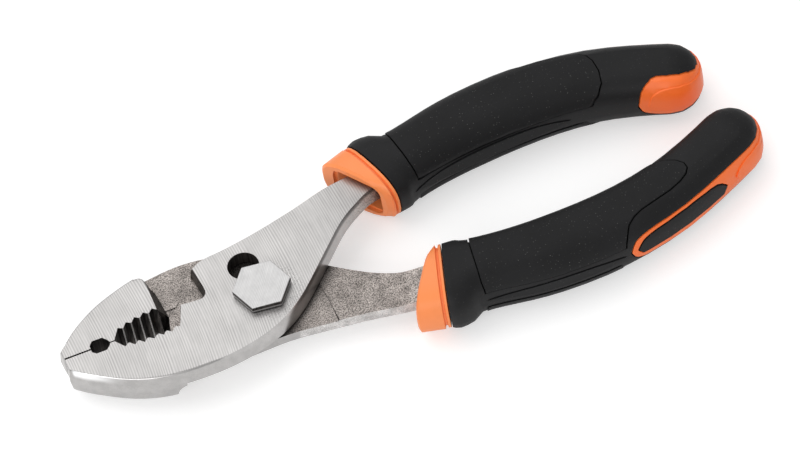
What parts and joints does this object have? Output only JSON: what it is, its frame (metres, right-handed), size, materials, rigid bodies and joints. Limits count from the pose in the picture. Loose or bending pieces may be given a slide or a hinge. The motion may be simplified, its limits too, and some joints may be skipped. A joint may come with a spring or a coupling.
{
  "type": "slip joint pliers",
  "caption": "Slip joint pliers with serrated jaws, a two-position pivot bolt and curved grips with a hard core and soft sleeve.",
  "frame": {"origin": "on the pivot axis, in the plane of the bolt end on which the closed tool rests", "axes": "+X from the pivot to the handles, +Y to the slotted half's handle, +Z along the pivot axis through the bolt head"},
  "size_m": [0.1701, 0.0596, 0.0154],
  "materials": {
    "forged_steel": "forged, with ground faces",
    "bolt_steel": "ground",
    "hard_orange": "satin moulded",
    "soft_black": "matt, finely speckled"
  },
  "bodies": {
    "slotted": {"slotted_half": "forged_steel", "upper_core_sleeve": "hard_orange", "upper_grip_sleeve": "soft_black", "upper_long_panel": "soft_black", "upper_swept_panel": "soft_black", "upper_inner_strip": "soft_black", "upper_outer_strip": "soft_black", "upper_window_inset": "soft_black"},
    "pivot": {"pivot_bolt": "bolt_steel", "pivot_nut": "bolt_steel"},
    "plain": {"plain_half": "forged_steel", "lower_core_sleeve": "hard_orange", "lower_grip_sleeve": "soft_black", "lower_long_panel": "soft_black", "lower_swept_panel": "soft_black", "lower_inner_strip": "soft_black", "lower_outer_strip": "soft_black", "lower_window_inset": "soft_black"}
  },
  "joints": [
    {"name": "slip", "type": "slide", "parent": "slotted", "child": "pivot", "axis": [-0.2233, 0.9748, 0], "range_m": [0, 0.0083]},
    {"name": "opening", "type": "hinge", "parent": "pivot", "child": "plain", "pos_m": [0, 0, 0], "axis": [0, 0, -1], "range_deg": [0, 40]}
  ]
}
